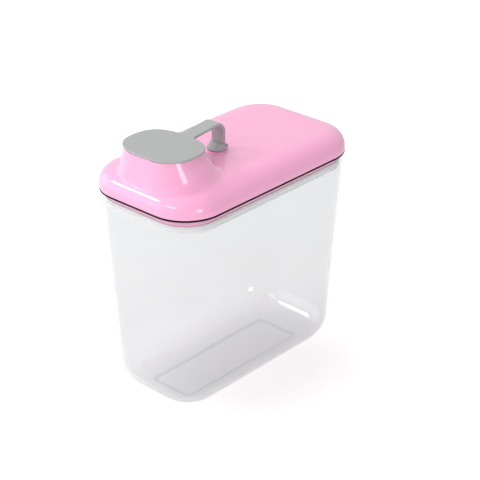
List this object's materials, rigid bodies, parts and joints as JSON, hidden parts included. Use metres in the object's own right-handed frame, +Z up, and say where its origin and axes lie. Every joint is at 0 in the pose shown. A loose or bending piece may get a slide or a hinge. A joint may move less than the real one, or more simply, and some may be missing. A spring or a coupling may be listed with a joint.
{
  "type": "dry food storage container with flip spout",
  "caption": "Tall clear tub with rounded corners and a domed lift-off lid, whose raised pouring spout is shut by a flat cap on a bent strap that flips back.",
  "frame": {"origin": "centre of the footprint, on the surface that the tub stands on", "axes": "+Z up, +X along the long side away from the spout, +Y across; the spout is at the -X end"},
  "size_m": [0.2258, 0.1262, 0.2436],
  "materials": {
    "clear_plastic": "clear polished",
    "pink_plastic": "glossy",
    "dark_rubber": "matte",
    "pale_rubber": "translucent matte",
    "grey_rubber": "matte"
  },
  "bodies": {
    "container": {"tub": "clear_plastic"},
    "lid": {"lid": "pink_plastic", "rim_gasket": "dark_rubber", "plug_seal": "pale_rubber", "strap_foot": "grey_rubber"},
    "cap": {"spout_cap": "grey_rubber"}
  },
  "joints": [
    {"name": "lid_lift", "type": "slide", "parent": "container", "child": "lid", "axis": [0, 0, 1], "range_m": [0, 0.08]},
    {"name": "cap_flip", "type": "hinge", "parent": "lid", "child": "cap", "pos_m": [-0.0088, 0, 0.2233], "axis": [0, 1, 0], "range_deg": [0, 95]}
  ]
}
